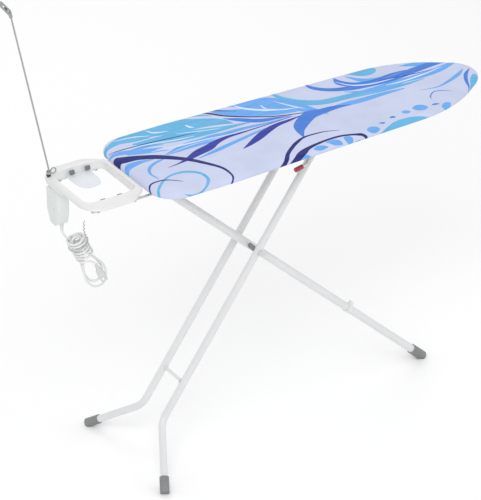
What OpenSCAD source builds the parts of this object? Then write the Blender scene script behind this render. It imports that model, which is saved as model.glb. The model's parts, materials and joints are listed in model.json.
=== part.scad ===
// Ironing board on scissor legs, with iron rest, socket and flex holder.
// Millimetres, +Z up, +X toward the nose, floor at z = 0.

/* [Board] */
// length of the ironing surface, wide end to nose tip
board_l = 1200; // [1100:10:1300]
// greatest width of the ironing surface
board_w = 390; // [350:5:430]
// height of the ironing surface above the floor
board_h = 965; // [900:5:1000]
// radius of the two corners at the wide end
corner_r = 80; // [50:5:110]
// radius of the nose tip
nose_r = 78; // [60:2:95]
// thickness of the fabric cover
cover_t = 1.5; // [1.2:0.1:2.5]
// thickness of the felt pad
felt_t = 6; // [4:0.5:7.5]
// thickness of the perforated steel top
sheet_t = 1.5; // [1:0.1:2]
// depth of the steel rim under the sheet
rim_h = 7; // [5:0.5:7.5]
// depth of the cover's skirt
skirt_h = 18; // [18:0.5:24]

/* [Legs] */
// outside diameter of the single leg
single_d = 25; // [22:0.5:28]
// outside diameter of the twin leg tubes
twin_d = 22; // [19:0.5:25]
// wall of the leg tubes
wall = 1.2; // [1:0.1:1.6]
// distance between the twin tubes, centre to centre
twin_gap = 110; // [96:2:124]
// distance between the two rear feet
foot_spread = 425; // [400:5:500]
// single leg's hinge, from the wide end
hinge_x = 90; // [70:5:120]
// depth of the leg hinge line under the ironing surface
hinge_drop = 70; // [66:1:80]
// foot of the single leg, from the wide end
foot_x = 1032; // [960:4:1080]
// scissor pivot as a share of the single leg's length
scissor_f = 0.33; // [0.3:0.01:0.36]
// bend of the twin tubes, from the wide end
knee_x = 68; // [50:2:90]
// height of the bend of the twin tubes
knee_z = 130; // [110:5:150]
// rear feet, from the wide end
rear_x = -20; // [-40:2:0]
// centreline radius of the twin tube bends
bend_r = 60; // [45:5:75]
// diameter of the scissor bolt
bolt_d = 8; // [6:0.5:9]

/* [Iron rest] */
// length of the iron rest along the board
rest_l = 204; // [190:2:230]
// width of the iron rest across the board
rest_w = 290; // [270:5:320]
// depth of the iron rest's frame
rest_h = 25; // [20:1:28]
// underside of the iron rest below the ironing surface
rest_drop = 25.3; // [23.3:0.5:32.3]
// length of the opening in the iron rest
well_l = 162; // [140:2:170]
// width of the opening in the iron rest
well_w = 196; // [170:2:210]
// gap between the iron rest and the board
rest_gap = 8; // [5:1:15]
// diameter of the support rods
rod_d = 8; // [6:0.5:9]
// distance between the support rods
rod_gap = 214; // [208:2:230]

/* [Socket] */
// width of the socket box across the board
box_w = 60; // [52:2:70]
// depth of the socket box along the board
box_d = 38; // [34:1:44]
// height of the socket box
box_h = 110; // [92:2:120]
// centre of the socket box from the board's centreline
box_y = 60; // [50:2:64]

/* [Flex holder] */
// diameter of the holder rod
ant_d = 5; // [4:0.5:6]
// rise of the holder rod above its bend
ant_rise = 515; // [450:5:600]
// outward lean of the holder rod at its top
ant_lean = 105; // [60:5:160]
// holder rod from the board's centreline
ant_y = 96; // [94:2:104]

/* [Flex] */
// diameter of the mains flex
cord_d = 7; // [6:0.5:8]
// length of the tied hank
hank_l = 210; // [190:2:240]
// width of the tied hank
hank_w = 58; // [50:2:66]

/* [Hidden] */
$fn = 48;

// bounding box centre of the whole product along X
ant_x = -rest_gap - rest_l + 10;
x_left = ant_x - ant_lean - 33.4;
shift = -(board_l + x_left) / 2;

z_felt = board_h - cover_t;
z_sheet = z_felt - felt_t;
z_under = z_sheet - sheet_t;
z_rim = z_under - rim_h;
z_hinge = board_h - hinge_drop;
z_hem = board_h - skirt_h;
rest_z = board_h - rest_drop;
rod_z = rest_z - rod_d / 2;
rest_x0 = -rest_gap - rest_l;
rest_xc = rest_x0 + rest_l / 2;

// linkage points in the X-Z plane: hinge, foot, scissor, bend, top bar
foot_z = 14;
A = [hinge_x, z_hinge];
F = [foot_x, foot_z];
P = A + scissor_f * (F - A);
K = [knee_x, knee_z];
T = P + (P - K) * (z_hinge - P[1]) / (P[1] - K[1]);
u_s = (F - A) / norm(F - A);
u_t = (T - K) / norm(T - K);
half = twin_gap / 2;
lever_x = T[0] + 26;

function v3(p, y) = [p[0], y, p[1]];

module place() {
  translate([shift, 0, 0]) children();
}

// cylinder from a to b
module bar(a, b, r) {
  d = b - a;
  translate(a)
    rotate([0, acos(d[2] / norm(d)), atan2(d[1], d[0])])
      cylinder(r = r, h = norm(d));
}

// arc of a bent bar at corner q between directions u and v
module arc(q, u, v, big, r) {
  c = u * v;
  phi = acos(c);
  n = (v - c * u) / norm(v - c * u);
  s = q - u * big * tan(phi / 2);
  o = s + n * big;
  z = cross(-n, u);
  multmatrix([[-n[0], u[0], z[0], o[0]], [-n[1], u[1], z[1], o[1]],
              [-n[2], u[2], z[2], o[2]], [0, 0, 0, 1]])
    rotate_extrude(angle = phi) translate([big, 0]) circle(r = r);
}

// bent bar through a list of points, round at every inner corner
module run(p, big, r) {
  n = len(p);
  d = [for (i = [0:n - 2]) (p[i + 1] - p[i]) / norm(p[i + 1] - p[i])];
  t = [for (i = [0:n - 1]) (i == 0 || i == n - 1) ? 0
       : big * tan(acos(min(1, d[i - 1] * d[i])) / 2)];
  // straights run a little into the bends, which are a hair thicker
  e = [for (i = [0:n - 1]) t[i] > 0 ? t[i] - big / 40 : 0];
  for (i = [0:n - 2])
    bar(p[i] + d[i] * e[i], p[i + 1] - d[i] * e[i + 1], r);
  for (i = [1:n - 2])
    arc(p[i], d[i - 1], d[i], big, r + 0.06);
}

// hollow bent tube, open at both ends
module pipe(p, big, r) {
  n = len(p);
  a = (p[0] - p[1]) / norm(p[0] - p[1]);
  b = (p[n - 1] - p[n - 2]) / norm(p[n - 1] - p[n - 2]);
  q = [for (i = [0:n - 1]) i == 0 ? p[0] + a : i == n - 1 ? p[i] + b : p[i]];
  difference() {
    run(p, big, r);
    run(q, big, r - wall);
  }
}

function unit(v) = v / norm(v);
// closed tube of radius r swept through points, one ring at each
module sweep(p, r, sides, ref) {
  n = len(p);
  t = [for (i = [0:n - 1]) unit(p[min(n - 1, i + 1)] - p[max(0, i - 1)])];
  b = [for (i = [0:n - 1]) unit(cross(t[i], ref))];
  polyhedron(
    points = [for (i = [0:n - 1], k = [0:sides - 1])
      p[i] + r * (cos(k * 360 / sides) * b[i]
                  + sin(k * 360 / sides) * cross(b[i], t[i]))],
    faces = concat(
      [[for (k = [0:sides - 1]) k]],
      [for (i = [0:n - 2], k = [0:sides - 1])
        [i * sides + k, (i + 1) * sides + k,
         (i + 1) * sides + (k + 1) % sides, i * sides + (k + 1) % sides]],
      [[for (k = [sides - 1:-1:0]) (n - 1) * sides + k]]));
}

// plan of the board, drawn in by i all round
module plan(i) {
  sh = 420 * board_w / 390;
  hull() {
    for (s = [-1, 1]) {
      translate([corner_r, s * (board_w / 2 - corner_r)])
        circle(r = corner_r - i, $fn = 72);
      translate([board_l * 0.19, s * (board_w / 2 - 110)])
        circle(r = 110 - i, $fn = 72);
      intersection() {
        translate([board_l * 0.735, -s * (sh - board_w * 0.437)])
          circle(r = sh - i, $fn = 180);
        translate([board_l * 0.6, s > 0 ? 0 : -board_w])
          square([board_l * 0.33, board_w]);
      }
    }
    translate([board_l - nose_r, 0]) circle(r = nose_r - i, $fn = 96);
  }
}

module slab(i, z, h) {
  translate([0, 0, z]) linear_extrude(h) plan(i);
}

// box with rounded upright corners, centred in plan
module rbox(l, w, h, r) {
  linear_extrude(h) rsq(l, w, r);
}

module rsq(l, w, r) {
  hull()
    for (x = [-1, 1], y = [-1, 1])
      translate([x * (l / 2 - r), y * (w / 2 - r)]) circle(r = r, $fn = 32);
}

module sheet_top() color("silver") place()
  difference() {
    slab(4, z_under, sheet_t);
    for (i = [1:22], j = [-3:3])
      if (abs(j) * 46 < board_w / 2 - 34 - max(0, i - 17) * 21)
        translate([i * board_l / 24, j * 46, z_under - 1])
          cylinder(d = 22, h = sheet_t + 2, $fn = 6);
  }

module rim() color("silver") place()
  difference() {
    slab(4, z_rim, rim_h);
    slab(6, z_rim - 1, rim_h + 2);
  }

module cross_bars() color("silver") place()
  for (x = [board_l * 0.036, T[0] - 173, T[0] - 77, T[0] + 355])
    translate([x, 0, z_rim + 1])
      difference() {
        w = x > T[0] ? board_w * 0.66 : board_w * 0.84;
        translate([-10, -w / 2, 0]) cube([20, w, rim_h - 1]);
        translate([-8.5, -w / 2 - 1, -1]) cube([17, w + 2, rim_h - 1.5]);
      }

// two steel plates with a long slot; the far end of the slot is notched
module height_rails() color("gainsboro") place()
  for (s = [-1, 1])
    difference() {
      union() {
        translate([T[0] - 60, s * 30 - 1, z_hinge - 20])
          cube([400, 2, z_under - z_hinge + 20]);
        translate([T[0] - 60, s * 37 - 8, z_under - 1.5]) cube([400, 16, 1.5]);
      }
      translate([T[0] - 8, s * 30 - 2, z_hinge - 7]) cube([300, 4, 22]);
      for (k = [0:5])
        translate([T[0] + k * 26, s * 30 - 2, z_hinge])
          rotate([-90, 0, 0]) cylinder(r = 7.2, h = 4, $fn = 32);
    }

module leg_bracket() color("gainsboro") place()
  difference() {
    union() {
      translate([A[0] - 30, -30, z_under - 2]) cube([60, 60, 2]);
      for (s = [-1, 1])
        translate([A[0] - 22, s * 18 - 1, A[1] - 12])
          cube([44, 2, z_under - A[1] + 12]);
    }
    translate([A[0], -40, A[1]]) rotate([-90, 0, 0]) cylinder(d = 8, h = 80);
  }

module leg_axle() color("silver") place() {
  translate([A[0], -24, A[1]]) rotate([-90, 0, 0]) cylinder(d = 8, h = 48);
  for (s = [-1, 1])
    translate([A[0], s * 21.5 - 2.5, A[1]])
      rotate([-90, 0, 0]) cylinder(d = 13, h = 5);
}

module felt() color("lightgrey") place() slab(4, z_sheet, felt_t);

module cover() color("lavender") place()
  difference() {
    slab(0, z_hem, skirt_h);
    slab(cover_t, z_hem + cover_t, skirt_h - 2 * cover_t);
    slab(24, z_hem - 1, cover_t + 2);
  }

// release lever: axle along X, arm out to the near edge
ly = -56;
lz = z_under - 32;
module lever_wire() color("silver") place()
  run([[lever_x + 92, ly, lz], [lever_x - 30, ly, lz],
       [lever_x - 130, -156, lz - 14], [lever_x - 166, -162.4, lz - 16.6]], 14, 3);

module lever_grip() color("brown") place()
  difference() {
    bar([lever_x - 146, -158.9, lz - 15.1], [lever_x - 172, -163.5, lz - 17.1], 7);
    bar([lever_x - 130, -156, lz - 14], [lever_x - 166, -162.4, lz - 16.6], 3);
  }

module lever_clips() color("gainsboro") place()
  for (x = [lever_x - 6, lever_x + 78])
    difference() {
      translate([x - 5, ly - 7, lz - 6]) cube([10, 14, z_under - lz + 6]);
      translate([x - 8, ly, lz]) rotate([0, 90, 0]) cylinder(r = 3.08, h = 16);
    }

// torsion spring round the axle, its tail bearing on the sheet
turns = 6;
function coil(k) = [lever_x + 20 + k * 0.14, ly + 5 * cos(k * 24), lz + 5 * sin(k * 24)];
module lever_spring() color("dimgray") place()
  sweep(concat([for (k = [0:turns * 15]) coil(k)],
               [coil(turns * 15) + [0, 0, 8], coil(turns * 15) + [0, 0, z_under - lz]]),
        0.9, 8, [1, 0, 0]);

module single_leg() color("white") place()
  difference() {
    pipe([v3(A - u_s * 14, 0), v3(F - u_s * 4, 0)], 40, single_d / 2);
    translate([A[0], -40, A[1]]) rotate([-90, 0, 0]) cylinder(d = 8.1, h = 80);
    translate([P[0], -40, P[1]]) rotate([-90, 0, 0]) cylinder(d = bolt_d, h = 80);
  }

module single_foot() color("gray") place()
  difference() {
    bar(v3(F - u_s * 42, 0), v3(F + u_s * 16, 0), single_d / 2 + 3);
    bar(v3(F - u_s * 50, 0), v3(F - u_s * 4, 0), single_d / 2);
    translate([F[0] - 60, -30, -40]) cube([120, 60, 40]);
  }

// clip on the single leg that holds the legs folded
hk = A + 0.713 * (F - A);
module storage_hook() color("white") place()
  difference() {
    union() {
      bar(v3(hk - u_s * 9, 0), v3(hk + u_s * 9, 0), single_d / 2 + 2);
      translate(v3(hk, 0))
        rotate([0, atan2(-u_s[1], u_s[0]), 0])
          translate([-9, -5, single_d / 2]) cube([15, 10, 11]);
    }
    bar(v3(hk - u_s * 20, 0), v3(hk + u_s * 20, 0), single_d / 2);
    translate(v3(hk, 0)) rotate([0, atan2(-u_s[1], u_s[0]), 0])
      translate([-1, -9, single_d / 2 + 5.5]) cube([8, 18, 3]);
  }

module scissor_bolt() color("silver") place() {
  translate([P[0], -half - 14, P[1]]) rotate([-90, 0, 0])
    cylinder(d = bolt_d, h = 2 * half + 28);
  translate([P[0], -half - 19, P[1]]) rotate([-90, 0, 0])
    cylinder(d = bolt_d * 1.9, h = 5);
}

module scissor_nuts() color("gray") place()
  difference() {
    translate([P[0], half + twin_d / 2 + 1, P[1]]) rotate([-90, 0, 0])
      cylinder(d = bolt_d * 1.9, h = 8, $fn = 6);
    translate([P[0], half, P[1]]) rotate([-90, 0, 0]) cylinder(d = bolt_d, h = 30);
  }

module spacers() color("gray") place()
  for (s = [-1, 1])
    difference() {
      translate([P[0], s * (half + single_d / 2 - twin_d / 2) / 2, P[1]])
        rotate([-90, 0, 0])
          cylinder(d = bolt_d + 7, h = half - twin_d / 2 - single_d / 2 - 0.6,
                   center = true);
      translate([P[0], -80, P[1]]) rotate([-90, 0, 0]) cylinder(d = bolt_d, h = 160);
    }

// one twin tube: straight from the top bar, bent out to its foot
function twin_pts(s) = [v3(T + u_t * 10, s * half), v3(K, s * half),
                        [rear_x, s * foot_spread / 2, foot_z]];
module twin(s) {
  difference() {
    pipe(twin_pts(s), bend_r, twin_d / 2);
    translate([P[0], s * half - 30, P[1]]) rotate([-90, 0, 0])
      cylinder(d = bolt_d + 0.1, h = 60);
    translate([T[0], s * half - 30, T[1]]) rotate([-90, 0, 0]) cylinder(d = 12, h = 60);
  }
}
module twin_far() color("white") place() twin(1);
module twin_near() color("white") place() twin(-1);

module top_bar() color("silver") place()
  translate([T[0], -half - 14, T[1]]) rotate([-90, 0, 0])
    cylinder(d = 12, h = 2 * half + 28);

// strut between the twin tubes, flattened flanges at both ends
st = K + u_t * 132;
module lower_strut() color("white") place() {
  w = half - twin_d / 2;
  translate([st[0], -w, st[1]]) rotate([-90, 0, 0]) cylinder(r = 5, h = 2 * w);
  for (s = [-1, 1])
    translate([st[0], s * (w - 1) - 1, st[1]]) rotate([-90, 0, 0])
      cylinder(r = 9, h = 2);
}

module rear_feet() color("gray") place()
  for (s = [-1, 1]) {
    e = twin_pts(s)[2];
    d = (e - v3(K, s * half)) / norm(e - v3(K, s * half));
    difference() {
      bar(e - d * 36, e + d * 14, twin_d / 2 + 3);
      bar(e - d * 44, e, twin_d / 2);
      translate([e[0] - 60, e[1] - 60, -40]) cube([120, 120, 40]);
    }
  }

// iron rest: a ring with walls, sloped inner faces and a rounded plan
module rest_plan(i) {
  translate([rest_xc, 0])
    hull() {
      for (s = [-1, 1]) {
        translate([-rest_l / 2 + 62, s * (rest_w / 2 - 62)]) circle(r = 62 - i);
        translate([rest_l / 2 - 30, s * (rest_w / 2 - 60)]) circle(r = 30 - i);
        translate([rest_l / 2 - 70, s * (rest_w / 2 - 40)]) circle(r = 40 - i);
      }
    }
}

module rest_frame() color("white") place()
  difference() {
    translate([0, 0, rest_z]) linear_extrude(rest_h) rest_plan(0);
    translate([0, 0, rest_z - 1]) linear_extrude(rest_h - 2) difference() {
      rest_plan(3);
      translate([rest_xc, 0]) rsq(well_l + 6, well_w + 6, 18);
    }
    translate([rest_xc, 0, rest_z - 1]) rbox(well_l, well_w, rest_h + 2, 16);
    translate([ant_x, ant_y, rest_z - 1]) cylinder(d = 9, h = rest_h + 2);
  }

// shelf under the opening, fixed to the far inner wall
module rest_shelf() color("whitesmoke") place()
  translate([rest_xc - 36, 0, rest_z + 4])
    intersection() {
      translate([0, well_w / 2 - 100, 0]) cube([78, 100, 3]);
      translate([39, well_w / 2 - 30, -1]) cylinder(r = 70, h = 6, $fn = 72);
    }

module rest_pads() color("dimgray") place()
  for (s = [-1, 1], x = [-28, 26])
    translate([rest_xc + x - 8, s * (well_w / 2 - 1.5) - 1.5, rest_z + 9])
      cube([16, 3, 13]);

module rest_rods() color("silver") place()
  for (s = [-1, 1]) {
    translate([rest_x0 + 30, s * rod_gap / 2, rod_z]) rotate([0, 90, 0])
      cylinder(d = rod_d, h = rest_l + rest_gap + 60);
  }

module rod_saddles() color("gray") place()
  for (s = [-1, 1])
    difference() {
      translate([58, s * rod_gap / 2 - 9, rod_z - rod_d / 2 - 3])
        cube([24, 18, z_under - rod_z + rod_d / 2 + 3]);
      translate([50, s * rod_gap / 2, rod_z]) rotate([0, 90, 0])
        cylinder(d = rod_d, h = 40);
    }

module rest_screws() color("silver") place()
  for (s = [-1, 1], x = [rest_x0 + 52, rest_x0 + rest_l - 34])
    translate([x, s * rod_gap / 2, rod_z - rod_d / 2 - 2.5])
      difference() {
        cylinder(d = 9, h = 2.5);
        translate([-0.7, -5, -1]) cube([1.4, 10, 2]);
      }

// socket box hung under the outer end of the rest
bx = rest_x0 - 2;
bz = rest_z - box_h;
module box_shape(i) {
  translate([bx, box_y, bz]) rotate([90, 0, 90])
    linear_extrude(box_d)
      hull() {
        for (s = [-1, 1])
          translate([s * (box_w / 2 - 6), box_h - 6]) circle(r = 6 - i, $fn = 32);
        translate([-box_w / 2 + 8, 38]) circle(r = 8 - i, $fn = 32);
        translate([-13, 8]) circle(r = 8 - i, $fn = 32);
        translate([4, 12]) circle(r = 12 - i, $fn = 32);
        translate([box_w / 2 - 8, 42]) circle(r = 8 - i, $fn = 32);
      }
}

module socket_box() color("white") place()
  difference() {
    box_shape(0);
    translate([3, 0, 0]) box_shape(3);
    translate([bx - 1, box_y - 8, bz + box_h * 0.45]) rotate([0, 90, 0]) cylinder(d = 6, h = 3);
    translate([gx, gy, bz - 1]) cylinder(d = 10, h = 6);
  }

module socket_face() color("whitesmoke") place()
  difference() {
    translate([bx + box_d - 6, 0, 0]) intersection() {
      translate([-bx, 0, 0]) box_shape(3);
      translate([0, -200, 0]) cube([6, 400, 2000]);
    }
    translate([bx + box_d - 4, box_y, bz + box_h / 2]) rotate([0, 90, 0])
      cylinder(d = 38, h = 8);
    for (s = [-1, 1])
      translate([bx, box_y + s * 9.5, bz + box_h / 2]) rotate([0, 90, 0])
        cylinder(d = 5, h = 60);
  }

module socket_contacts() color("gold") place()
  for (s = [-1, 1])
    difference() {
      translate([bx + box_d - 24, box_y + s * 9.5, bz + box_h / 2]) rotate([0, 90, 0])
        cylinder(d = 8, h = 18);
      translate([bx + box_d - 22, box_y + s * 9.5, bz + box_h / 2]) rotate([0, 90, 0])
        cylinder(d = 5, h = 30);
    }

module socket_screws() color("silver") place()
  translate([bx + 1, box_y - 8, bz + box_h * 0.45]) rotate([0, 90, 0])
    difference() {
      cylinder(d = 6, h = 1);
      translate([-0.6, -4, -1]) cube([1.2, 8, 1.6]);
    }

// rubber gland in the floor of the box
gx = bx + box_d - 12;
gy = box_y - 6;
module gland() color("whitesmoke") place()
  difference() {
    union() {
      translate([gx, gy, bz - 12]) cylinder(d1 = 10, d2 = 13, h = 12);
      translate([gx, gy, bz - 1]) cylinder(d = 10, h = 4);
    }
    translate([gx, gy, bz - 12.5]) cylinder(d = cord_d + 0.2, h = 1.1);
  }

// flex holder: ferrule in the rest, sprung rod, ring and cord clip at the top
zt = rest_z + rest_h;
kink = [ant_x, ant_y, zt + 24];
tip = kink + [-ant_lean, 0, ant_rise];
u_a = (tip - kink) / norm(tip - kink);

module rod_ferrule() color("dimgray") place()
  difference() {
    union() {
      translate([ant_x, ant_y, rest_z + 2]) cylinder(d = 9, h = rest_h + 13);
      translate([ant_x, ant_y, zt]) cylinder(d = 13, h = 3);
    }
    translate([ant_x, ant_y, rest_z + 5]) cylinder(d = ant_d + 0.1, h = 60);
  }

module flex_ring() color("gray") place()
  difference() {
    union() {
      translate([ant_x, ant_y, zt + 6]) cylinder(d = 13, h = 9);
      translate([ant_x + 15, ant_y, zt + 12.5]) rotate([90, 0, 0])
        rotate_extrude() translate([8.6, 0]) circle(r = 1.8, $fn = 32);
    }
    translate([ant_x, ant_y, zt]) cylinder(d = 9, h = 20);
  }

module flex_rod() color("whitesmoke") place()
  run([[ant_x, ant_y, rest_z + 5.3], kink, tip], 14, ant_d / 2);

// local frame of the clip at the rod's tip
module at_tip() {
  place() translate(tip) rotate([0, -38, 0]) children();
}

module clip_body() color("gray")
  difference() {
    union() {
      at_tip() translate([-8, -7, -8]) cube([5, 14, 52]);
      at_tip() translate([-4, -7, 38]) cube([5, 14, 6]);
      for (s = [-1, 1])
        at_tip() translate([-8, s * 8.2 - 0.9, 9]) cube([11, 1.8, 10]);
      at_tip() translate([-8, -9, 9]) cube([2.5, 18, 10]);
      place() bar(tip - u_a * 16, tip + u_a * 2, 5);
    }
    place() bar(tip - u_a * 20, tip, ant_d / 2);
    at_tip() translate([0, -20, 14]) rotate([-90, 0, 0]) cylinder(r = 1.5, h = 40);
  }

module clip_jaw() color("gray")
  difference() {
    union() {
      at_tip() translate([1.5, -7, 6]) cube([4, 14, 38]);
      at_tip() translate([0, -7, 14]) rotate([-90, 0, 0]) cylinder(r = 2.6, h = 14);
    }
    at_tip() translate([0, -20, 14]) rotate([-90, 0, 0]) cylinder(r = 1.56, h = 40);
  }

module clip_pin() color("silver")
  at_tip() translate([0, -10.5, 14]) rotate([-90, 0, 0]) cylinder(r = 1.5, h = 21);

// flex: the lead from the gland to the hank
h_top = [-157.5, 38, 781];
h_dir = [0.42, 0, -0.9075];
c0 = [gx, gy, bz - 12];
c1 = [gx, gy, bz - 32];
c3 = h_top;
c2 = h_top - 18 * h_dir;
rings = 9;
function bez(t) = pow(1 - t, 3) * c0 + 3 * t * pow(1 - t, 2) * c1
                  + 3 * t * t * (1 - t) * c2 + pow(t, 3) * c3;
module cord() color("white") place()
  sweep([for (i = [0:rings]) bez(i / rings)], cord_d / 2, 12, [0, 1, 0]);

// local frame of the hank: x across, y through, z down its length
module at_hank() {
  place() translate(h_top) rotate([0, 180 - 24.83, 0]) children();
}

hank_t = 28;
module hank() color("white")
  at_hank() rotate([90, 0, 0]) translate([0, 0, -hank_t / 2])
    linear_extrude(hank_t)
      hull() {
        intersection() {
          translate([0, hank_w / 2]) circle(d = hank_w, $fn = 32);
          translate([-hank_w, 0]) square([2 * hank_w, hank_w]);
        }
        translate([0, hank_l - hank_w / 2]) circle(d = hank_w, $fn = 32);
      }

module tie() color("whitesmoke")
  at_hank() {
    translate([0, 0, 44]) linear_extrude(3) difference() {
      square([hank_w + 4, hank_t + 4], center = true);
      square([hank_w, hank_t], center = true);
    }
  }

module plug_body() color("whitesmoke")
  at_hank() translate([6, -hank_t / 2 - 16, 122]) rotate([-90, 0, 0])
    linear_extrude(16)
      hull() {
        translate([0, -4]) circle(r = 6, $fn = 32);
        for (s = [-1, 1]) translate([s * 7, -36]) circle(r = 4, $fn = 32);
      }

module plug_pins() color("silver")
  for (s = [-1, 1])
    at_hank() translate([6 + s * 6, -hank_t / 2 - 8, 162]) cylinder(d = 4, h = 18);

sheet_top();
rim();
cross_bars();
height_rails();
leg_bracket();
leg_axle();
felt();
cover();
lever_wire();
lever_grip();
lever_clips();
lever_spring();
single_leg();
single_foot();
storage_hook();
scissor_bolt();
scissor_nuts();
spacers();
twin_far();
twin_near();
top_bar();
lower_strut();
rear_feet();
rest_frame();
rest_shelf();
rest_pads();
rest_rods();
rod_saddles();
rest_screws();
socket_box();
socket_face();
socket_contacts();
socket_screws();
gland();
rod_ferrule();
flex_ring();
flex_rod();
clip_body();
clip_jaw();
clip_pin();
cord();
hank();
tie();
plug_body();
plug_pins();
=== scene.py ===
"""Ironing board on scissor legs: the visible model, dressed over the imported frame."""

import json
import logging
import math
from dataclasses import dataclass, field
from enum import Enum

import bmesh
import bpy
import numpy as np
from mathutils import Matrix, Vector

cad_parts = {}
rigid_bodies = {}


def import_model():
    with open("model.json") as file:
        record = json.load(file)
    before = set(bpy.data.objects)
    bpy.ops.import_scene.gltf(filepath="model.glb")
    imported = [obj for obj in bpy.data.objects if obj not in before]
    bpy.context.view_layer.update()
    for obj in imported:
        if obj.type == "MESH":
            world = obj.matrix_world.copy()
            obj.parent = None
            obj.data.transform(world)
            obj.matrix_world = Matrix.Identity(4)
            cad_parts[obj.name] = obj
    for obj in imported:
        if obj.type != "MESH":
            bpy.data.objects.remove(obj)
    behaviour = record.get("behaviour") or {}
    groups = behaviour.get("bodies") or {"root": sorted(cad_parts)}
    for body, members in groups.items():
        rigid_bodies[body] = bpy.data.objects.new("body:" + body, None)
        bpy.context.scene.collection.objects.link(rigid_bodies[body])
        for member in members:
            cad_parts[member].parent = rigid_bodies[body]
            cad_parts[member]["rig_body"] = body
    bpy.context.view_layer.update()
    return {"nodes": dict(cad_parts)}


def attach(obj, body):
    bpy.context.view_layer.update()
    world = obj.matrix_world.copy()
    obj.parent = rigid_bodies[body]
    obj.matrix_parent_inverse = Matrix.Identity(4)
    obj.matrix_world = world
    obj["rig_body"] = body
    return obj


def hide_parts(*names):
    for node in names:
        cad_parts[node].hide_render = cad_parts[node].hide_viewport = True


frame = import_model()
LOG = logging.getLogger("ironing_board")

MM = 0.001
SHIFT = -0.4298  # the wide end of the board, along X
TOP = 0.965  # ironing surface
HEM = 0.947  # lower edge of the cover's skirt
BOARD_L = 1.200
BOARD_W = 0.390
FAR = 60.0  # millimetres past which a point counts as clear of a stroke
REACH = 45.0  # a stroke is measured only this far round its stations
CHUNK = 20000  # points measured at a time
Colour = tuple[float, float, float]


def in_frame(points: np.ndarray) -> np.ndarray:
    """Turns millimetres from the board's wide end into metres in the shared frame."""
    return points * MM + np.array([SHIFT, 0.0, 0.0])


def stand_in(piece: bpy.types.Object, slot: str, *nodes: str) -> bpy.types.Object:
    """Rides a piece on the board and lets it stand for CAD nodes.

    Args:
        piece: the new piece.
        slot: the record's material slot; not used.
        nodes: the CAD nodes that it stands for.
    Returns:
        the piece, for chaining.
    """
    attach(piece, "board")
    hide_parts(*nodes)
    LOG.info("made %s", piece.name)
    return piece


# ---------------------------------------------------------------- node graphs


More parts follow.
